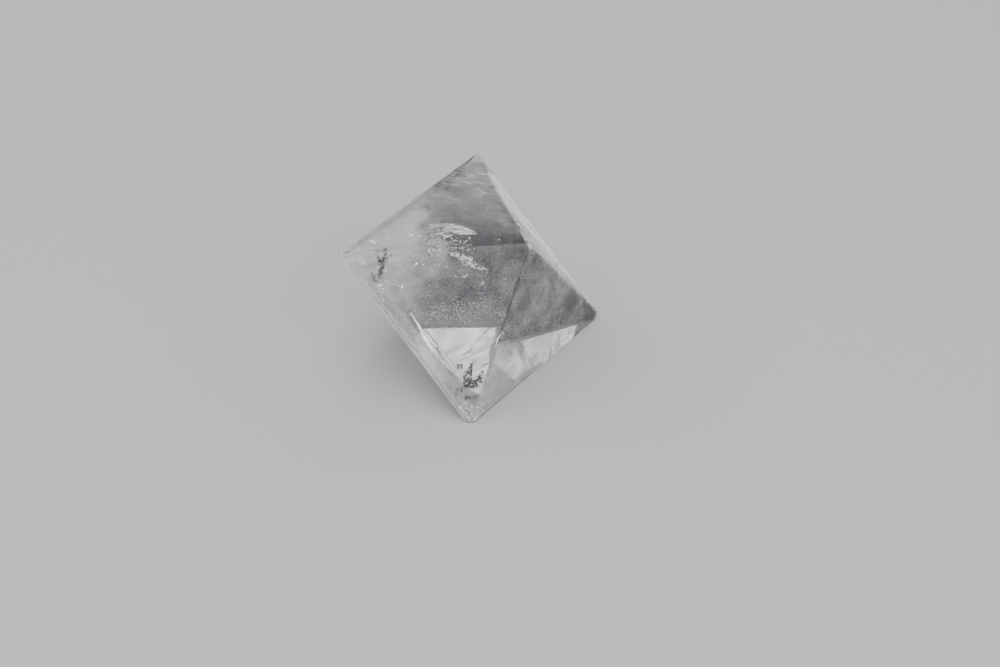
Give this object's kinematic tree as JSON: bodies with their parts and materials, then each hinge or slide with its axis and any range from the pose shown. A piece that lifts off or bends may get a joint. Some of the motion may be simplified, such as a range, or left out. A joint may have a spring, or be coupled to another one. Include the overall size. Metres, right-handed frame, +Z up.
{
  "type": "clear quartz double pyramid",
  "caption": "Polished clear quartz double pyramid with a square girdle, bevelled edges and milky inner veils, lying on one face.",
  "frame": {"origin": "centre of the stone's outline as seen from above, on the plane of the face that it lies on", "axes": "+Z up, square to the resting face; +X along the resting face's long edge; +Y from that edge towards the apex of the resting face"},
  "size_m": [0.0262, 0.018, 0.0178],
  "materials": {
    "quartz": "polished, clear and colourless, refractive index 1.544"
  },
  "bodies": {
    "root": {"quartz_double_pyramid": "quartz"}
  },
  "joints": []
}
